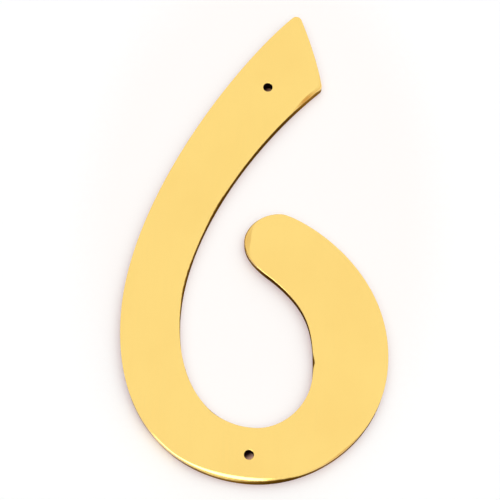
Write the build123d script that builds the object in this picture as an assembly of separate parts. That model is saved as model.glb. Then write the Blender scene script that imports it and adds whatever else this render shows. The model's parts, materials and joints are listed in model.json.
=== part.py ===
"""A polished brass numeral 6 for a letterbox: one flat plate that is nailed on through two holes.

Millimetres. X runs to the reader's right, Y up the numeral and Z out of its face. The plate is drawn
with its left edge and its foot on the axes, and then centred over the origin with its back on Z = 0.
"""
import os

from build123d import *

# The plate as a whole
WIDTH = 53.8
HEIGHT = 100.7  # up to the sharp tip, before it is rounded
THICKNESS = 2.5
EDGE_ROUND = 0.4  # polished front edge
POINT_ROUND = 0.8  # of the flat face, at the stem's two points

# The bowl, outside and inside
LEFT_STROKE = 11.9
RIGHT_STROKE = 14.9
FOOT_STROKE = 10.8
FOOT_SHIFT = 2.6  # the foot's lowest point lies right of the counter's middle
LEFT_LEVEL = 32.7  # height of the leftmost point, outside and inside
RIGHT_LEVEL = 25.6  # height of the rightmost point outside
COUNTER_RIGHT_LEVEL = 22.4

# The lobe that curls in over the bowl
LOBE_HEIGHT = 55.4
LOBE_LENGTH = 7.3  # from the lobe's end back to its top
LOBE_DROP = 6.0  # from the lobe's top down to its end
MOUTH = 8.8  # gap between the stem and the lobe's end
NECK_LENGTH = 6.4  # from the lobe's end on to the point where its underside turns hollow
NECK_DROP = 8.2
NECK_SLOPE = 38.0  # degrees, downwards

# The stem and its slanted terminal
TIP_REACH = 32.8  # from the left edge
TIP_SLOPE = 42.7  # degrees, of the stem's back at the tip
TERMINAL_WIDTH = 5.7
TERMINAL_DROP = 16.7
TERMINAL_BULGE = 0.4
CORNER_SLOPE = 42.8  # degrees, of the stem's inside at the corner

# The nail holes, one above the other
HOLE_LINE = 27.1  # from the left edge
HOLE_DIAMETER = 1.9
HOLE_RIM_CHAMFER = 0.1
TOP_HOLE_DROP = 17.4  # below the sharp tip

# How far each curve follows its end directions, as shares of the distance between its ends
STEM_BACK_PULL = (0.20, 0.34)
FOOT_LEFT_PULL = (0.58, 0.28)
FOOT_RIGHT_PULL = (0.35, 0.42)
SHOULDER_PULL = (0.54, 0.08)
LOBE_END_PULL = (0.40, 0.34)
LOBE_UNDERSIDE_PULL = (0.41, 0.19)
NECK_PULL = (0.41, 0.45)
COUNTER_RIGHT_PULL = (0.41, 0.35)
COUNTER_LEFT_PULL = (0.38, 0.45)
STEM_INSIDE_PULL = (0.33, 0.29)

UP = Vector(0, 1)
DOWN = Vector(0, -1)
RIGHT = Vector(1, 0)
LEFT = Vector(-1, 0)


def slanted(direction, degrees):
    """A direction in the plate's plane, turned anticlockwise."""
    return direction.rotate(Axis.Z, degrees)


def curve(start, leaving, end, arriving, pull):
    """One smooth stretch of the outline, along its end directions at both ends."""
    span = (end - start).length
    return Bezier(start, start + leaving * (span * pull[0]), end - arriving * (span * pull[1]), end)


def outline():
    """The edges of the numeral, anticlockwise from the tip of the stem."""
    tip = Vector(TIP_REACH, HEIGHT)
    corner = tip + Vector(TERMINAL_WIDTH, -TERMINAL_DROP)
    left = Vector(0, LEFT_LEVEL)
    right = Vector(WIDTH, RIGHT_LEVEL)
    counter_left = left + RIGHT * LEFT_STROKE
    counter_right = Vector(WIDTH - RIGHT_STROKE, COUNTER_RIGHT_LEVEL)
    foot = Vector((counter_left.X + counter_right.X) / 2 + FOOT_SHIFT, 0)
    counter_foot = foot + UP * FOOT_STROKE

    stem_back = curve(tip, slanted(LEFT, TIP_SLOPE), left, DOWN, STEM_BACK_PULL)
    stem_inside = curve(counter_left, UP, corner, slanted(RIGHT, CORNER_SLOPE), STEM_INSIDE_PULL)
    bulge_point = (tip + corner) / 2 + slanted(tip - corner, -90).normalized() * TERMINAL_BULGE
    terminal = ThreePointArc(corner, bulge_point, tip)

    # The lobe ends one mouth's width from the stem, measured level.
    lobe_end_height = LOBE_HEIGHT - LOBE_DROP
    level = Line((0, lobe_end_height), (WIDTH, lobe_end_height))
    stem_edge = stem_inside.intersect(level)[0]
    lobe_end = Vector(stem_edge.X + MOUTH, lobe_end_height)
    lobe_top = lobe_end + Vector(LOBE_LENGTH, LOBE_DROP)
    neck = lobe_end + Vector(NECK_LENGTH, -NECK_DROP)
    neck_way = slanted(RIGHT, -NECK_SLOPE)

    return [
        stem_back,
        curve(left, DOWN, foot, RIGHT, FOOT_LEFT_PULL),
        curve(foot, RIGHT, right, UP, FOOT_RIGHT_PULL),
        curve(right, UP, lobe_top, LEFT, SHOULDER_PULL),
        curve(lobe_top, LEFT, lobe_end, DOWN, LOBE_END_PULL),
        curve(lobe_end, DOWN, neck, neck_way, LOBE_UNDERSIDE_PULL),
        curve(neck, neck_way, counter_right, DOWN, NECK_PULL),
        curve(counter_right, DOWN, counter_foot, LEFT, COUNTER_RIGHT_PULL),
        curve(counter_foot, LEFT, counter_left, UP, COUNTER_LEFT_PULL),
        stem_inside,
        terminal,
    ]


def rounded_face():
    """The numeral's flat shape, with its two sharp points taken off."""
    face = make_face(outline())
    tip = Vector(TIP_REACH, HEIGHT)
    corner = tip + Vector(TERMINAL_WIDTH, -TERMINAL_DROP)
    for point in (tip, corner):
        face = fillet(face.vertices().sort_by_distance(point)[0], EDGE_ROUND + POINT_ROUND)
    return face


def nail_hole(height):
    """The drill for one hole."""
    place = Pos(HOLE_LINE, height, THICKNESS / 2)
    return place * Cylinder(HOLE_DIAMETER / 2, 2 * THICKNESS)


def numeral_plate():
    """The plate: cut out, polished round its front edge, drilled and deburred at the hole rims."""
    plate = extrude(rounded_face(), THICKNESS)
    front = plate.faces().sort_by(Axis.Z)[-1]
    plate = fillet(front.edges(), EDGE_ROUND)
    plate -= nail_hole(HEIGHT - TOP_HOLE_DROP)
    plate -= nail_hole(FOOT_STROKE / 2)
    front = plate.faces().sort_by(Axis.Z)[-1]
    rims = front.edges().filter_by(GeomType.CIRCLE).filter_by(lambda edge: edge.radius == HOLE_DIAMETER / 2)
    plate = chamfer(rims, HOLE_RIM_CHAMFER)
    middle = plate.bounding_box().center()
    return Pos(-middle.X, -middle.Y, 0) * plate


os.makedirs("parts", exist_ok=True)
export_step(numeral_plate(), "parts/numeral_plate.step")
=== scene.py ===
import json
import math

import bmesh
import bpy
from bpy.props import FloatProperty, FloatVectorProperty, IntProperty, PointerProperty
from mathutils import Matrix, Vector


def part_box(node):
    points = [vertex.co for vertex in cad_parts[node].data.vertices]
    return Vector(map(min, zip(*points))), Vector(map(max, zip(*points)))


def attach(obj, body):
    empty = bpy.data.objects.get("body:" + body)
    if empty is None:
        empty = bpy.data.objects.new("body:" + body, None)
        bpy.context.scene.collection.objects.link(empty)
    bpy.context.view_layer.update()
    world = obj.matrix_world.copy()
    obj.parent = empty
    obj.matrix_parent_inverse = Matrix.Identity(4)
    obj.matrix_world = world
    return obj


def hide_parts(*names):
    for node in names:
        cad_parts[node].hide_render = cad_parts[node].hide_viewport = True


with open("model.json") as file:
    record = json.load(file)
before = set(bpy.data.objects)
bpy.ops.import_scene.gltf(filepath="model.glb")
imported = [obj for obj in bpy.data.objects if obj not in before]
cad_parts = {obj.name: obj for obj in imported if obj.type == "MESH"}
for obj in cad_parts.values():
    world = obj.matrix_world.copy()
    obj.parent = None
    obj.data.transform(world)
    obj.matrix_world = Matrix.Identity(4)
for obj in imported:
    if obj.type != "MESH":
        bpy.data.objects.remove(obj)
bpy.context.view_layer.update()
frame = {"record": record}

bl_info = {
    "name": "Letterbox Numeral",
    "version": (1, 0, 0),
    "blender": (4, 5, 0),
    "location": "3D View > Sidebar > Numeral",
    "description": "A polished brass numeral 6 with two nail holes, and the pale table it lies on",
    "category": "Object",
}

PLATE_LOW, PLATE_HIGH = (Vector(corner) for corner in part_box("numeral_plate"))
NAIL_HOLES = [mount for mount in frame["record"]["mounts"] if mount["kind"] == "bore"]

# How far each stretch of the outline keeps to its end directions, as shares of its ends' distance.
PULLS = {
    "stem_back": (0.20, 0.34),
    "foot_left": (0.58, 0.28),
    "foot_right": (0.35, 0.42),
    "shoulder": (0.54, 0.08),
    "lobe_end": (0.40, 0.34),
    "lobe_underside": (0.41, 0.19),
    "neck": (0.41, 0.45),
    "counter_right": (0.41, 0.35),
    "counter_left": (0.38, 0.45),
    "stem_inside": (0.33, 0.29),
}
# Spots along the outline that buffing or wear left different, except the last table, whose spots get
# painted shade on their roundings. Each has a place, the direction in degrees that the edge faces there,
# how far along it the spot reaches, and what it has in its middle: a length, or a share in the second
# and the last table. Lengths are in millimetres.
ROUNDINGS = {
    "lower_left": (-17.5, -43.0, -135.0, 8.0, 0.4),
    "foot": (-1.5, -49.8, -94.0, 12.0, 1.2),
    "lower_right": (18.5, -43.2, -48.0, 5.0, 0.4),
    "lobe_end": (-3.0, -0.2, 176.0, 4.0, 1.75),
    "stem_inside": (-8.1, 6.2, -30.0, 4.0, 0.5),
    "stem_low": (-14.8, -10.5, -12.0, 6.0, 0.6),
    "counter_left": (-13.9, -30.5, 10.0, 1.8, 0.35),
    "counter_nick": (12.0, -25.3, 180.0, 1.3, 0.8),
    "counter_low_left": (-7.3, -36.5, 48.0, 2.2, 0.35),
    "corner": (11.4, 34.4, -25.0, 2.2, 1.0),
    "below_corner": (9.3, 31.9, -47.0, 5.0, 0.8),
}
FLATTENINGS = {
    "lobe_end": (-3.0, -0.2, 176.0, 6.0, 0.6),
}
# How far down the edge the polish reaches. Where it reaches deep, the sides below are also painted lighter,
# as painted light.
BRIGHT_DEPTHS = {
    "lower_left": (-17.5, -43.0, -135.0, 8.0, 2.2),
    "foot": (-6.0, -49.2, -98.0, 8.0, 0.9),
    "lower_right": (16.0, -45.0, -54.0, 6.5, 0.65),
    "lobe_end": (-3.0, -0.2, 176.0, 4.0, 0.6),
    "lobe_low_left": (-1.7, -5.5, -145.0, 3.0, 0.9),
    "neck": (6.5, -11.3, -138.0, 4.0, 0.3),
    "corner": (11.4, 34.4, -25.0, 2.2, 1.3),
    "below_corner": (9.3, 31.9, -47.0, 5.0, 0.75),
}
# Painted shade: spots whose roundings are painted a deeper orange, for the dim surroundings that they
# mirror.
BEVEL_SHADE_SHARES = {
    "lower_right": (18.5, -43.2, -48.0, 5.0, 0.5),
    "lobe_end": (-3.0, -0.2, 176.0, 3.6, 0.47),
    "below_corner": (8.3, 31.0, -47.0, 2.3, 1.0),
}
POLISH_FADE = (0.45, 1.45)  # the polish ends between these shares of its depth
# How light falls on the sheet at the bottom of the nail holes: the way and the stretch in which it
# grows, and for each hole the share of the glow that the sheet keeps there, and how far above the
# hole's middle the part that shows lies. Lengths are in millimetres.
HOLE_LIGHT_WAY = Vector((0.6, -0.8, 0.0))
HOLE_LIGHT_STRETCH = (-0.5, 0.9)
HOLE_LIGHT = {
    "nail_hole_top": (0.12, 0.55),
    "nail_hole_bottom": (0.55, 0.25),
}
HOLE_SHEET = (3.0, 3.1)  # millimetres from a hole's middle, between which its bottom ends
# The sheet is warmer in an oval around the numeral, painted light from the brass: how its axes are scaled,
# where its middle then is, and between which distances the warmth ends. Lengths are in millimetres.
WARM_SCALE = Vector((1.0, 0.6, 0.0))
WARM_MIDDLE = Vector((0.0, 3.0, 0.0))
WARM_FADE = (29.0, 43.0)
SHEET_GAP = 0.03  # from the numeral's back down to the sheet, in millimetres
HORIZON_FADE = (0.02, 0.30)  # heights of a direction between which the horizon turns into open light
CAMERA_FRAME = 36.0  # width that the lens is given for, in millimetres

MM = 0.001
RIGHT = Vector((1.0, 0.0))
UP = Vector((0.0, 1.0))
LEVEL = 0.9  # a face whose normal is steeper than this is the plate's face or its back
LEAST_LEAN = 0.02  # a point whose normal leans less than this lies on the flat
RING_START = 0.01 * MM  # a ring of the rounded edge starts this far inside the last one
RIM_MARGIN = 1.02  # edges within this many radii of a hole's middle are its rim
# Places of the sockets on a node that mixes colours
MIX_SHARE, MIX_FIRST, MIX_SECOND, MIX_RESULT = 0, 6, 7, 2


def length(name, description, millimetres):
    """A length that is given in millimetres."""
    return FloatProperty(
        name=name, description=description, default=millimetres * MM, unit="LENGTH", precision=5)


def slope(name, description, degrees):
    """An angle that is given in degrees."""
    return FloatProperty(
        name=name, description=description, default=math.radians(degrees), subtype="ANGLE")


def tone(name, description, default):
    """A colour, in linear light."""
    return FloatVectorProperty(
        name=name, description=description, default=default, subtype="COLOR", size=3)


class NumeralStrokes(bpy.types.PropertyGroup):
    """Strokes that the numeral is drawn with. Reaches are from its left edge, heights from its foot."""

    left_stroke: length("Left Stroke", "Width of the bowl's stroke at its left", 11.9)
    right_stroke: length("Right Stroke", "Width of the bowl's stroke at its right", 14.9)
    foot_stroke: length("Foot Stroke", "Width of the bowl's stroke at its foot", 10.8)
    foot_shift: length("Foot Shift", "From the counter's middle to the foot's lowest point", 2.6)
    left_height: length("Left Height", "Height of the bowl's leftmost point, outside and inside", 32.7)
    right_height: length("Right Height", "Height of the bowl's rightmost point outside", 25.6)
    counter_height: length("Counter Height", "Height of the bowl's rightmost point inside", 22.4)
    lobe_height: length("Lobe Height", "Height of the lobe that curls in over the bowl", 55.4)
    lobe_reach: length("Lobe Reach", "Where the lobe ends", 23.89)
    lobe_length: length("Lobe Length", "From the lobe's end back to its top", 7.3)
    lobe_drop: length("Lobe Drop", "From the lobe's top down to its end", 6.0)
    neck_length: length("Neck Length", "From the lobe's end on to where its underside turns hollow", 6.4)
    neck_drop: length("Neck Drop", "From the lobe's end down to where its underside turns hollow", 8.2)
    neck_slope: slope("Neck Slope", "How steeply the underside drops where it turns hollow", 38.0)
    tip_height: length("Tip Height", "Height of the stem's sharp tip, before it is rounded", 100.7)
    tip_reach: length("Tip Reach", "Where the sharp tip is", 32.8)
    tip_slope: slope("Tip Slope", "How steeply the stem's back climbs to the tip", 42.7)
    tip_setback: length("Tip Setback", "How far the tip is cut back along both its edges", 1.74)
    terminal_width: length("Terminal Width", "From the tip across to the slanted end's corner", 5.7)
    terminal_drop: length("Terminal Drop", "From the tip down to the slanted end's corner", 16.7)
    terminal_bulge: length("Terminal Bulge", "How far the slanted end swells", 0.4)
    corner_slope: slope("Corner Slope", "How steeply the stem's inside climbs to the corner", 42.8)
    corner_setback: length("Corner Setback", "How far the corner is cut back along both its edges", 0.7)


class NumeralSizes(bpy.types.PropertyGroup):
    """Sizes of the brass plate."""

    thickness: FloatProperty(
        name="Thickness", description="From the flat back to the polished face",
        default=PLATE_HIGH.z - PLATE_LOW.z, unit="LENGTH", precision=5)
    edge_round: length("Edge Round", "Radius of the front edge, away from the harder buffed spots", 0.12)
    rim_chamfer: length("Rim Chamfer", "How far the rims of the nail holes are deburred", 0.1)
    curve_steps: IntProperty(
        name="Curve Steps", description="Edges that each stretch of the outline is made of",
        default=48, min=8, max=128)
    round_steps: IntProperty(
        name="Round Steps", description="Bands that the rounded front edge is made of",
        default=10, min=3, max=24)
    hole_steps: IntProperty(
        name="Hole Steps", description="Sides that each nail hole is made of",
        default=64, min=12, max=128)


class BrassFinish(bpy.types.PropertyGroup):
    """Colours and gloss of the brass."""

    polished: tone("Polished", "Brass of the buffed face", (0.98, 0.70, 0.215))
    worn: tone("Worn", "Slightly deeper tone where the polish has aged", (0.93, 0.63, 0.18))
    # Painted shade: a deep orange on some roundings, for the dim surroundings that they mirror.
    bevel_shade: tone("Bevel Shade", "Deep orange painted on some roundings as shade", (0.70, 0.36, 0.07))
    side: tone("Side", "Brown of the sides, which buffing doesn't reach", (0.21, 0.085, 0.006))
    # Painted light: a lighter brown on the sides below the harder buffed spots, where these walls catch more
    # light.
    lit_side: tone("Lit Side", "Lighter brown painted below the harder buffed spots as light", (0.45, 0.19, 0.02))
    # Painted shade: near black on the nail holes' walls, for the shade inside them.
    hole: tone("Hole", "Near black painted in the nail holes as shade", (0.025, 0.012, 0.008))
    back: tone("Back", "Dull brass of the ground back", (0.62, 0.42, 0.16))
    roughness: FloatProperty(
        name="Roughness", description="Of the polished face", subtype="FACTOR",
        default=0.13, min=0.0, max=1.0)
    side_roughness: FloatProperty(
        name="Side Roughness", description="Of the sides, which buffing doesn't reach", subtype="FACTOR",
        default=0.55, min=0.0, max=1.0)
    polish_depth: length(
        "Polish Depth", "How far down the edge is bright, away from the harder buffed spots", 0.15)


class StudioSettings(bpy.types.PropertyGroup):
    """The table, the light and the camera."""

    paper: tone("Paper", "Pale sheet under the numeral", (0.61, 0.755, 0.75))
    # Painted light: the warmer sheet close around the numeral stands for warm light that the brass throws on
    # it.
    brass_lit_paper: tone(
        "Near Paper", "The sheet close around the numeral, which the brass warms", (0.61, 0.715, 0.69))
    glow: tone("Glow", "Warm light that the sheet keeps in the numeral's shadow", (0.40, 0.265, 0.27))
    # Painted light: the lit part of each hole's bottom, warmed by light off the brass around it.
    lit_hole_floor: tone("Hole Floor", "The sheet at the bottom of the nail holes", (1.0, 0.50, 0.22))
    hole_shade: tone("Hole Shade", "The part of a hole's bottom that the light misses", (0.03, 0.008, 0.012))
    backdrop: tone("Backdrop", "What the camera sees around the table", (1.0, 0.995, 0.99))
    horizon: tone(
        "Horizon", "Dim surroundings near the table, which only the metal shows", (0.75, 0.62, 0.42))
    sheet_size: FloatProperty(
        name="Sheet Size", description="Width and depth of the pale sheet", default=4.0, unit="LENGTH")
    dome: FloatProperty(
        name="Dome", description="Strength of the soft light from overhead", default=2.6, min=0.0)
    dome_spread: FloatProperty(
        name="Dome Spread", description="How quickly the overhead light falls off to its sides",
        default=3.0, min=0.0)
    overhead: FloatVectorProperty(
        name="Overhead", description="Where the light from overhead is brightest",
        subtype="DIRECTION", size=3, default=(0.170, 0.243, 0.955))
    panel_place: FloatVectorProperty(
        name="Panel Place", description="Middle of the panel that is mirrored in the foot's edge",
        subtype="TRANSLATION", size=3, default=(-0.335, -0.45, 0.78))
    panel_width: FloatProperty(
        name="Panel Width", description="Width of the mirrored panel", default=0.73, unit="LENGTH")
    panel_height: FloatProperty(
        name="Panel Height", description="Height of the mirrored panel", default=1.24, unit="LENGTH")
    panel_power: FloatProperty(
        name="Panel Power", description="Power of the mirrored panel", default=8.3, min=0.0, unit="POWER")
    lens: FloatProperty(
        name="Lens", description="Focal length on a 36 mm frame, in millimetres",
        default=123.45, min=1.0)
    eye: FloatVectorProperty(
        name="Eye", description="Place of the camera, seen from the point it looks at",
        subtype="TRANSLATION", size=3, default=(0.0055, -0.1082, 0.333))
    target: FloatVectorProperty(
        name="Target", description="Point on the table that the camera looks at",
        subtype="TRANSLATION", size=3, default=(-0.00176, -0.00175, 0.0))


def deselect_all():
    """Leaves object mode clean for the next tool."""
    if bpy.context.object and bpy.context.object.mode != "OBJECT":
        bpy.ops.object.mode_set(mode="OBJECT")
    bpy.ops.object.select_all(action="DESELECT")


def choose(piece, faces=None, edges=None):
    """Selects the faces or the edges that pass a test, in edit mode."""
    bpy.ops.mesh.select_all(action="DESELECT")
    bpy.ops.mesh.select_mode(type="FACE" if faces else "EDGE")
    mesh = bmesh.from_edit_mesh(piece.data)
    picked = [element for element in (mesh.faces if faces else mesh.edges) if (faces or edges)(element)]
    for element in picked:
        element.select_set(True)
    bmesh.update_edit_mesh(piece.data)
    if not picked:
        raise RuntimeError("nothing to select on " + piece.name)


def heading(angle):
    """A direction in the plate's plane, anticlockwise from the reader's right."""
    return Vector((math.cos(angle), math.sin(angle)))


def sweep(start, leaving, end, arriving, pulls):
    """A smooth stretch of the outline, along its end directions at both ends."""
    span = (end - start).length
    return start, start + leaving * span * pulls[0], end - arriving * span * pulls[1], end


def arc(start, leaving, end, arriving):
    """A round stretch of the outline, along its end directions at both ends."""
    turn = leaving.angle(arriving)
    radius = (end - start).length / (2.0 * math.sin(turn / 2.0))
    reach = radius * math.tan(turn / 4.0) * 4.0 / 3.0
    return start, start + leaving * reach, end - arriving * reach, end


def rest_of(stretch, share):
    """What a stretch has left beyond a share of it."""
    rest = []
    points = stretch
    while points:
        rest.insert(0, points[-1])
        points = [first.lerp(second, share) for first, second in zip(points, points[1:])]
    return tuple(rest)


def cut_back(stretch, setback):
    """A stretch that starts at a distance from its old start."""
    low, high = 0.0, 1.0
    for _ in range(30):
        share = (low + high) / 2.0
        if (rest_of(stretch, share)[0] - stretch[0]).length < setback:
            low = share
        else:
            high = share
    return rest_of(stretch, high)


def round_point(before, after, setback):
    """Two stretches that met in a sharp point, and the arc that rounds it."""
    before = cut_back(before[::-1], setback)[::-1]
    after = cut_back(after, setback)
    leaving = (before[3] - before[2]).normalized()
    arriving = (after[1] - after[0]).normalized()
    return before, arc(before[3], leaving, after[0], arriving), after


def plan_outline(strokes):
    """The stretches of the outline, anticlockwise from the stem's back."""
    origin = PLATE_LOW.xy
    width = PLATE_HIGH.x - PLATE_LOW.x
    left = origin + UP * strokes.left_height
    right = origin + Vector((width, strokes.right_height))
    counter_left = left + RIGHT * strokes.left_stroke
    counter_right = origin + Vector((width - strokes.right_stroke, strokes.counter_height))
    foot = Vector(((counter_left.x + counter_right.x) / 2.0 + strokes.foot_shift, origin.y))
    counter_foot = foot + UP * strokes.foot_stroke
    lobe_top = origin + Vector((strokes.lobe_reach + strokes.lobe_length, strokes.lobe_height))
    lobe_end = lobe_top - Vector((strokes.lobe_length, strokes.lobe_drop))
    neck = lobe_end + Vector((strokes.neck_length, -strokes.neck_drop))
    hollow = heading(-strokes.neck_slope)

    tip = origin + Vector((strokes.tip_reach, strokes.tip_height))
    corner = tip + Vector((strokes.terminal_width, -strokes.terminal_drop))
    rise = math.atan2(tip.y - corner.y, tip.x - corner.x)
    swell = 2.0 * math.atan(2.0 * strokes.terminal_bulge / (tip - corner).length)
    terminal = arc(corner, heading(rise - swell), tip, heading(rise + swell))
    stem_back = sweep(tip, -heading(strokes.tip_slope), left, -UP, PULLS["stem_back"])
    stem_inside = sweep(counter_left, UP, corner, heading(strokes.corner_slope), PULLS["stem_inside"])
    stem_inside, rounded_corner, terminal = round_point(stem_inside, terminal, strokes.corner_setback)
    terminal, rounded_tip, stem_back = round_point(terminal, stem_back, strokes.tip_setback)

    return [
        stem_back,
        sweep(left, -UP, foot, RIGHT, PULLS["foot_left"]),
        sweep(foot, RIGHT, right, UP, PULLS["foot_right"]),
        sweep(right, UP, lobe_top, -RIGHT, PULLS["shoulder"]),
        sweep(lobe_top, -RIGHT, lobe_end, -UP, PULLS["lobe_end"]),
        sweep(lobe_end, -UP, neck, hollow, PULLS["lobe_underside"]),
        sweep(neck, hollow, counter_right, -UP, PULLS["neck"]),
        sweep(counter_right, -UP, counter_foot, -RIGHT, PULLS["counter_right"]),
        sweep(counter_foot, -RIGHT, counter_left, UP, PULLS["counter_left"]),
        stem_inside,
        rounded_corner,
        terminal,
        rounded_tip,
    ]


def draw_outline(strokes, steps):
    """The outline as a closed loop of edges on the back plane."""
    deselect_all()
    bpy.ops.curve.primitive_bezier_circle_add(radius=(PLATE_HIGH.x - PLATE_LOW.x) / 2.0)
    outline = bpy.context.object
    stretches = plan_outline(strokes)
    knots = outline.data.splines[0].bezier_points
    knots.add(len(stretches) - len(knots))
    for knot in knots:
        knot.handle_left_type = knot.handle_right_type = "FREE"
    for index, (start, leaving, arriving, _) in enumerate(stretches):
        knots[index].co = start.to_3d()
        knots[index].handle_right = leaving.to_3d()
        knots[(index + 1) % len(knots)].handle_left = arriving.to_3d()
    outline.data.resolution_u = steps
    bpy.ops.object.convert(target="MESH")
    outline.name = outline.data.name = "numeral_6"
    return outline


def strongest(spots, place, outward, plain):
    """What the spots make of a plain value, at one point of the outline."""
    most = plain
    for x, y, degrees, reach, middle in spots.values():
        away = (place / MM - Vector((x, y))).length / reach
        facing = outward.dot(heading(math.radians(degrees)))
        most = max(most, plain + (middle - plain) * math.exp(-away * away) * max(facing, 0.0))
    return most


def neighbours(vert):
    """The points at the other ends of a point's edges."""
    return [edge.other_vert(vert) for edge in vert.link_edges]


def raise_plate(piece, sizes):
    """Fills the outline, pulls it up and rounds its front edge, more where it was buffed harder."""
    bpy.ops.object.mode_set(mode="EDIT")
    bpy.ops.mesh.select_all(action="SELECT")
    bpy.ops.mesh.edge_face_add()
    half_way = (0.0, 0.0, sizes.thickness / 2.0)
    bpy.ops.mesh.extrude_region_move(TRANSFORM_OT_translate={"value": half_way})
    bpy.ops.mesh.select_all(action="SELECT")
    bpy.ops.mesh.normals_make_consistent(inside=False)
    choose(piece, faces=lambda face: face.normal.z > LEVEL)
    for _ in range(sizes.round_steps):
        bpy.ops.mesh.inset(thickness=RING_START, depth=RING_START)

    mesh = bmesh.from_edit_mesh(piece.data)
    front = next(face for face in mesh.faces if face.select)
    back = min(mesh.faces, key=lambda face: face.calc_center_median().z)
    count = len(back.verts)
    ring = [loop.vert for loop in back.loops]
    done = set(ring)
    rings = [ring]
    while len(rings) < sizes.round_steps + 2:
        ring = [next(vert for vert in neighbours(outer) if vert not in done) for outer in ring]
        done.update(ring)
        rings.append(ring)
    if set(rings[-1]) != set(front.verts):
        raise RuntimeError("the rings of the rounded edge are not whole")

    flat = [vert.co.xy.copy() for vert in rings[0]]
    turn = sum(flat[i - 1].cross(flat[i]) for i in range(count))
    for i in range(count):
        along = (flat[(i + 1) % count] - flat[i - 1]).normalized()
        outward = Vector((along.y, -along.x)) * math.copysign(1.0, turn)
        width = strongest(ROUNDINGS, flat[i], outward, sizes.edge_round / MM) * MM
        drop = width * (1.0 - strongest(FLATTENINGS, flat[i], outward, 0.0))
        for step, ring in enumerate(rings[1:]):
            angle = 0.5 * math.pi * step / sizes.round_steps
            place = flat[i] - outward * width * (1.0 - math.cos(angle))
            ring[i].co = (place.x, place.y, sizes.thickness - drop * (1.0 - math.sin(angle)))
    bmesh.update_edit_mesh(piece.data)
    bpy.ops.object.mode_set(mode="OBJECT")


def drill(piece, sizes):
    """Cuts the nail holes through the plate and deburrs their front rims."""
    for mount in NAIL_HOLES:
        x, y, _ = mount["pos_m"]
        radius = mount["dims"]["r_mm"] * MM
        deselect_all()
        bpy.ops.mesh.primitive_cylinder_add(
            vertices=sizes.hole_steps, radius=radius, depth=3.0 * sizes.thickness,
            location=(x, y, sizes.thickness / 2.0))
        bit = bpy.context.object
        deselect_all()
        piece.select_set(True)
        bpy.context.view_layer.objects.active = piece
        cut = piece.modifiers.new("drill", "BOOLEAN")
        cut.operation = "DIFFERENCE"
        cut.solver = "EXACT"
        cut.object = bit
        bpy.ops.object.modifier_apply(modifier=cut.name)
        bpy.data.objects.remove(bit)

        bpy.ops.object.mode_set(mode="EDIT")
        centre = Vector((x, y, sizes.thickness))
        reach = radius * RIM_MARGIN
        choose(piece, edges=lambda edge: all((vert.co - centre).length < reach for vert in edge.verts))
        bpy.ops.mesh.bevel(offset=sizes.rim_chamfer, segments=3)
        bpy.ops.object.mode_set(mode="OBJECT")


def note_polish(piece, finish):
    """Keeps at each point how far down the edge is bright, and how much painted shade its rounding gets."""
    piece.data.attributes.new("polish_depth", "FLOAT", "POINT")
    piece.data.attributes.new("bevel_shade", "FLOAT", "POINT")
    depths = piece.data.attributes["polish_depth"].data
    bevel_shade_shares = piece.data.attributes["bevel_shade"].data
    for vert, depth, bevel_shade_share in zip(piece.data.vertices, depths, bevel_shade_shares):
        outward = vert.normal.xy
        if outward.length > LEAST_LEAN:
            outward.normalize()
        depth.value = strongest(BRIGHT_DEPTHS, vert.co.xy, outward, finish.polish_depth / MM) * MM
        bevel_shade_share.value = strongest(BEVEL_SHADE_SHARES, vert.co.xy, outward, 0.0)


def add_node(tree, kind, inputs=None, **settings):
    """One shader node. Sockets in its inputs are linked, and anything else is set."""
    node = tree.nodes.new(kind)
    for name, value in settings.items():
        setattr(node, name, value)
    for name, value in (inputs or {}).items():
        if isinstance(value, bpy.types.NodeSocket):
            tree.links.new(value, node.inputs[name])
        else:
            node.inputs[name].default_value = value
    return node


def mix_colours(tree, share, first, second):
    """A colour mix with sockets or plain colours."""
    node = add_node(tree, "ShaderNodeMix", data_type="RGBA")
    for index, value in ((MIX_SHARE, share), (MIX_FIRST, first), (MIX_SECOND, second)):
        if isinstance(value, bpy.types.NodeSocket):
            tree.links.new(value, node.inputs[index])
        else:
            node.inputs[index].default_value = value if index == MIX_SHARE else (*value, 1.0)
    return node.outputs[MIX_RESULT]


def map_range(tree, value, low, high, to_low=0.0, to_high=1.0, smooth=False):
    """A value moved from one range to another, and kept inside it."""
    node = add_node(
        tree, "ShaderNodeMapRange",
        {"Value": value, "From Min": low, "From Max": high, "To Min": to_low, "To Max": to_high},
        interpolation_type="SMOOTHSTEP" if smooth else "LINEAR")
    return node.outputs["Result"]


def arithmetic(tree, operation, first, second):
    """One sum on two sockets, or on a socket and a number."""
    return add_node(tree, "ShaderNodeMath", {0: first, 1: second}, operation=operation).outputs[0]


def vector_sum(tree, operation, first, second):
    """One sum on two vectors. A distance or a dot product comes back as a number."""
    node = add_node(tree, "ShaderNodeVectorMath", {0: first, 1: second}, operation=operation)
    return node.outputs["Value" if operation in {"DISTANCE", "DOT_PRODUCT"} else "Vector"]


def noise(tree, place, scale, detail, roughness=0.5):
    """A cloudy pattern of values from 0 to 1."""
    node = add_node(
        tree, "ShaderNodeTexNoise",
        {"Vector": place, "Scale": scale, "Detail": detail, "Roughness": roughness})
    return node.outputs["Fac"]


def new_material(name):
    """An empty material with its shader."""
    material = bpy.data.materials.new(name)
    material.use_nodes = True
    tree = material.node_tree
    tree.nodes.clear()
    shader = add_node(tree, "ShaderNodeBsdfPrincipled")
    add_node(tree, "ShaderNodeOutputMaterial", {"Surface": shader.outputs[0]})
    return material, tree, shader


def hairlines(tree, place, turn, across, along):
    """Fine straight polishing lines, turned by degrees in the plane of the face."""
    mapped = add_node(
        tree, "ShaderNodeMapping",
        {"Vector": place, "Rotation": (0.0, 0.0, math.radians(turn)), "Scale": (across, along, along)})
    return noise(tree, mapped.outputs[0], scale=1.0, detail=3.0, roughness=0.6)


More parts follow.
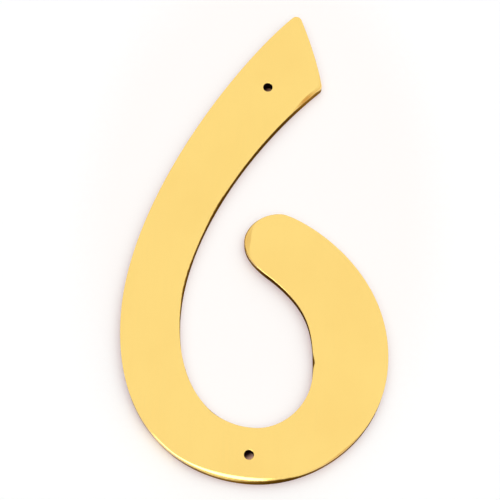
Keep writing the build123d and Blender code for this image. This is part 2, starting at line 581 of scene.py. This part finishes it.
def polished_brass(finish, sizes):
    """Buffed brass on the face and dull brown on the sides, with painted light on some sides, painted shade
    on some roundings and in the holes.
    """
    material, tree, shader = new_material("polished_brass")
    place = add_node(tree, "ShaderNodeTexCoord").outputs["Object"]
    height = add_node(tree, "ShaderNodeSeparateXYZ", {0: place}).outputs["Z"]

    cloud = noise(tree, place, scale=70.0, detail=4.0)
    lines = hairlines(tree, place, turn=38.0, across=5200.0, along=110.0)
    swirls = hairlines(tree, place, turn=-24.0, across=3400.0, along=160.0)
    aged = map_range(tree, cloud, 0.42, 0.72, to_high=0.35)
    face = mix_colours(tree, aged, finish.polished, finish.worn)
    face = mix_colours(tree, map_range(tree, lines, 0.50, 0.80, to_high=0.25), face, finish.worn)

    # Painted shade: some roundings are painted a deeper orange, for the dim surroundings that they mirror.
    # It stays off the flat face.
    bevel_shade_share = add_node(tree, "ShaderNodeAttribute", attribute_name="bevel_shade").outputs["Fac"]
    low, high = sizes.thickness - 0.03 * MM, sizes.thickness - 0.01 * MM
    off_the_flat = map_range(tree, height, low, high, to_low=1.0, to_high=0.0)
    face = mix_colours(tree, arithmetic(tree, "MULTIPLY", bevel_shade_share, off_the_flat), face, finish.bevel_shade)

    ragged = noise(tree, place, scale=900.0, detail=3.0)
    shift = map_range(tree, ragged, 0.3, 0.7, to_low=-0.05 * MM, to_high=0.05 * MM)
    depth = add_node(tree, "ShaderNodeAttribute", attribute_name="polish_depth").outputs["Fac"]
    below = arithmetic(tree, "SUBTRACT", arithmetic(tree, "ADD", shift, sizes.thickness), height)
    share = arithmetic(tree, "DIVIDE", below, depth)
    buffed = map_range(tree, share, *POLISH_FADE, to_low=1.0, to_high=0.0, smooth=True)
    grime = map_range(tree, ragged, 0.35, 0.7, to_low=0.65)
    grimy = [channel * 0.5 for channel in finish.side]
    side = mix_colours(tree, grime, grimy, finish.side)
    # Painted light: the sides are painted a lighter brown where the polish reaches deep, for the extra light
    # on these walls.
    side = mix_colours(tree, map_range(tree, depth, 0.2 * MM, 0.7 * MM), side, finish.lit_side)
    colour = mix_colours(tree, buffed, side, face)

    flat = vector_sum(tree, "MULTIPLY", place, (1.0, 1.0, 0.0))
    # Painted shade: the walls of the nail holes are painted near black, for the shade inside them.
    for mount in NAIL_HOLES:
        x, y, _ = mount["pos_m"]
        radius = mount["dims"]["r_mm"] * MM
        away = vector_sum(tree, "DISTANCE", flat, (x, y, 0.0))
        rim = (radius * 1.01, radius * 1.06)
        inside = map_range(tree, away, *rim, to_low=1.0, to_high=0.0, smooth=True)
        colour = mix_colours(tree, inside, colour, finish.hole)

    gloss = map_range(tree, swirls, 0.3, 0.75, finish.roughness - 0.03, finish.roughness + 0.05)
    rough = map_range(tree, buffed, 0.0, 1.0, to_low=finish.side_roughness, to_high=0.0)
    bump = add_node(
        tree, "ShaderNodeBump",
        {"Strength": 0.06, "Distance": 0.02 * MM, "Height": arithmetic(tree, "ADD", lines, swirls)})
    shader.inputs["Specular IOR Level"].default_value = 0.0
    tree.links.new(buffed, shader.inputs["Metallic"])
    tree.links.new(colour, shader.inputs["Base Color"])
    tree.links.new(arithmetic(tree, "MAXIMUM", gloss, rough), shader.inputs["Roughness"])
    tree.links.new(bump.outputs[0], shader.inputs["Normal"])
    return material


def ground_brass(finish):
    """The back, ground flat and left dull."""
    material, tree, shader = new_material("ground_brass")
    place = add_node(tree, "ShaderNodeTexCoord").outputs["Object"]
    cloud = noise(tree, place, scale=90.0, detail=5.0)
    lines = hairlines(tree, place, turn=8.0, across=2600.0, along=60.0)
    colour = mix_colours(tree, map_range(tree, cloud, 0.35, 0.75, to_high=0.6), finish.back, finish.side)
    bump = add_node(
        tree, "ShaderNodeBump", {"Strength": 0.25, "Distance": 0.03 * MM, "Height": lines})
    shader.inputs["Metallic"].default_value = 1.0
    tree.links.new(colour, shader.inputs["Base Color"])
    tree.links.new(map_range(tree, lines, 0.3, 0.7, 0.32, 0.52), shader.inputs["Roughness"])
    tree.links.new(bump.outputs[0], shader.inputs["Normal"])
    return material


class NUMERAL_OT_plate(bpy.types.Operator):
    """Model the brass numeral and finish its surfaces"""

    bl_idname = "numeral.plate"
    bl_label = "Brass Numeral"

    def execute(self, context):
        sizes = context.scene.numeral_sizes
        finish = context.scene.numeral_finish
        piece = draw_outline(context.scene.numeral_strokes, sizes.curve_steps)
        raise_plate(piece, sizes)
        drill(piece, sizes)

        deselect_all()
        piece.select_set(True)
        context.view_layer.objects.active = piece
        bpy.ops.object.shade_smooth_by_angle(angle=math.radians(50.0))
        flat = piece.modifiers.new("flat faces", "WEIGHTED_NORMAL")
        flat.keep_sharp = True
        bpy.ops.object.modifier_apply(modifier=flat.name)

        note_polish(piece, finish)
        piece.data.materials.append(polished_brass(finish, sizes))
        piece.data.materials.append(ground_brass(finish))
        for face in piece.data.polygons:
            face.material_index = 1 if face.normal.z < -LEVEL else 0

        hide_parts("numeral_plate")
        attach(piece, "root")
        return {"FINISHED"}


def lay_paper(studio):
    """A pale sheet, just below the numeral's back."""
    deselect_all()
    bpy.ops.mesh.primitive_plane_add(size=studio.sheet_size, location=(0.0, 0.0, 0.0))
    paper = bpy.context.object
    paper.name = paper.data.name = "paper"
    bpy.ops.object.mode_set(mode="EDIT")
    bpy.ops.transform.translate(value=(0.0, 0.0, -SHEET_GAP * MM))
    bpy.ops.object.mode_set(mode="OBJECT")
    material, tree, shader = new_material("paper")
    place = add_node(tree, "ShaderNodeTexCoord").outputs["Object"]
    fibre = noise(tree, place, scale=900.0, detail=4.0)
    oval = vector_sum(tree, "MULTIPLY", place, WARM_SCALE)
    away = vector_sum(tree, "DISTANCE", oval, WARM_MIDDLE * MM)
    # Painted light: the sheet is warmer in the oval around the numeral, for warm light from the brass.
    cool = map_range(tree, away, *(end * MM for end in WARM_FADE), smooth=True)
    sheet = mix_colours(tree, cool, studio.brass_lit_paper, studio.paper)
    fleck = [channel * 0.985 for channel in studio.brass_lit_paper]
    colour = mix_colours(tree, map_range(tree, fibre, 0.35, 0.75, to_high=0.3), sheet, fleck)

    shader.inputs["Roughness"].default_value = 0.8
    shader.inputs["Specular IOR Level"].default_value = 0.0
    shader.inputs["Emission Color"].default_value = (*studio.glow, 1.0)
    path = add_node(tree, "ShaderNodeLightPath").outputs
    glow = arithmetic(tree, "MAXIMUM", path["Is Camera Ray"], path["Is Glossy Ray"])
    glow = arithmetic(tree, "MAXIMUM", glow, path["Is Transmission Ray"])
    slant = vector_sum(tree, "DOT_PRODUCT", place, HOLE_LIGHT_WAY)
    for mount in NAIL_HOLES:
        share, shift = HOLE_LIGHT[mount["name"]]
        away = vector_sum(tree, "DISTANCE", place, mount["pos_m"])
        beyond = map_range(tree, away, *(end * MM for end in HOLE_SHEET))
        middle = HOLE_LIGHT_WAY.dot(Vector(mount["pos_m"]) + Vector((0.0, shift * MM, 0.0)))
        # Painted light and shade on the sheet at each hole's bottom: lit on one side and shaded on the
        # other.
        lit = map_range(tree, slant, *(middle + end * MM for end in HOLE_LIGHT_STRETCH), smooth=True)
        floor = mix_colours(tree, lit, studio.hole_shade, studio.lit_hole_floor)
        colour = mix_colours(tree, beyond, floor, colour)
        least = arithmetic(tree, "MULTIPLY", lit, share)
        glow = arithmetic(tree, "MULTIPLY", glow, map_range(tree, beyond, 0.0, 1.0, to_low=least))
    tree.links.new(glow, shader.inputs["Emission Strength"])
    tree.links.new(colour, shader.inputs["Base Color"])
    paper.data.materials.append(material)


def light_dome(studio):
    """Soft light from overhead, and pale surroundings with a dim horizon that only the metal shows."""
    world = bpy.data.worlds.new("studio")
    bpy.context.scene.world = world
    world.use_nodes = True
    tree = world.node_tree
    tree.nodes.clear()
    path = add_node(tree, "ShaderNodeLightPath").outputs
    way = add_node(tree, "ShaderNodeTexCoord").outputs["Generated"]

    above = vector_sum(tree, "DOT_PRODUCT", way, Vector(studio.overhead).normalized())
    above = arithmetic(tree, "POWER", arithmetic(tree, "MAXIMUM", above, 0.0), studio.dome_spread)
    strength = arithmetic(tree, "MULTIPLY", above, studio.dome)
    dome = add_node(tree, "ShaderNodeBackground", {"Color": (1.0, 1.0, 1.0, 1.0), "Strength": strength})
    backdrop = add_node(
        tree, "ShaderNodeBackground", {"Color": (*studio.backdrop, 1.0), "Strength": 1.0})
    seen = arithmetic(tree, "MAXIMUM", path["Is Camera Ray"], path["Is Transmission Ray"])

    rise = add_node(tree, "ShaderNodeSeparateXYZ", {0: way}).outputs["Z"]
    opening = map_range(tree, rise, *HORIZON_FADE, smooth=True)
    around = mix_colours(tree, opening, studio.horizon, (1.0, 1.0, 1.0))
    mirrored = add_node(tree, "ShaderNodeBackground", {"Color": around, "Strength": 0.98})

    inner = add_node(
        tree, "ShaderNodeMixShader",
        {0: path["Is Glossy Ray"], 1: dome.outputs[0], 2: mirrored.outputs[0]})
    outer = add_node(tree, "ShaderNodeMixShader", {0: seen, 1: inner.outputs[0], 2: backdrop.outputs[0]})
    add_node(tree, "ShaderNodeOutputWorld", {"Surface": outer.outputs[0]})


def hang_panel(studio):
    """A panel beyond the foot, which only the metal mirrors, as the bright line on the foot's edge."""
    deselect_all()
    bpy.ops.object.light_add(type="AREA", location=studio.panel_place)
    lamp = bpy.context.object
    lamp.name = "softbox"
    lamp.data.shape = "RECTANGLE"
    lamp.data.size = studio.panel_width
    lamp.data.size_y = studio.panel_height
    lamp.data.energy = studio.panel_power
    lamp.rotation_euler = Vector((0.0, 1.0, 0.0)).to_track_quat("-Z", "Z").to_euler()
    lamp.visible_diffuse = False


def set_camera(studio):
    """The camera looks down on the numeral from beyond its foot."""
    deselect_all()
    target = Vector(studio.target)
    place = target + Vector(studio.eye)
    bpy.ops.object.camera_add(location=place)
    camera = bpy.context.object
    camera.rotation_euler = (target - place).to_track_quat("-Z", "Y").to_euler()
    camera.data.sensor_width = CAMERA_FRAME
    camera.data.lens = studio.lens
    camera.data.clip_start = 0.01
    bpy.context.scene.camera = camera


class NUMERAL_OT_studio(bpy.types.Operator):
    """Set up the pale table, the light and the camera"""

    bl_idname = "numeral.studio"
    bl_label = "Studio"

    def execute(self, context):
        studio = context.scene.numeral_studio
        lay_paper(studio)
        light_dome(studio)
        hang_panel(studio)
        set_camera(studio)
        context.scene.view_settings.view_transform = "Standard"
        return {"FINISHED"}


class VIEW3D_PT_numeral(bpy.types.Panel):
    """Sizes, finish and studio of the numeral"""

    bl_label = "Letterbox Numeral"
    bl_idname = "VIEW3D_PT_numeral"
    bl_space_type = "VIEW_3D"
    bl_region_type = "UI"
    bl_category = "Numeral"

    def draw(self, context):
        for title, group in (
            ("Strokes", context.scene.numeral_strokes),
            ("Sizes", context.scene.numeral_sizes),
            ("Brass", context.scene.numeral_finish),
            ("Studio", context.scene.numeral_studio),
        ):
            box = self.layout.box()
            box.label(text=title)
            for name in group.__annotations__:
                box.prop(group, name)
        self.layout.operator(NUMERAL_OT_plate.bl_idname)
        self.layout.operator(NUMERAL_OT_studio.bl_idname)


CLASSES = (
    NumeralStrokes,
    NumeralSizes,
    BrassFinish,
    StudioSettings,
    NUMERAL_OT_plate,
    NUMERAL_OT_studio,
    VIEW3D_PT_numeral,
)


def register():
    for cls in CLASSES:
        bpy.utils.register_class(cls)
    bpy.types.Scene.numeral_strokes = PointerProperty(type=NumeralStrokes)
    bpy.types.Scene.numeral_sizes = PointerProperty(type=NumeralSizes)
    bpy.types.Scene.numeral_finish = PointerProperty(type=BrassFinish)
    bpy.types.Scene.numeral_studio = PointerProperty(type=StudioSettings)


def unregister():
    del bpy.types.Scene.numeral_studio
    del bpy.types.Scene.numeral_finish
    del bpy.types.Scene.numeral_sizes
    del bpy.types.Scene.numeral_strokes
    for cls in reversed(CLASSES):
        bpy.utils.unregister_class(cls)


def main():
    register()
    bpy.ops.numeral.plate()
    bpy.ops.numeral.studio()


if __name__ == "__main__":
    main()
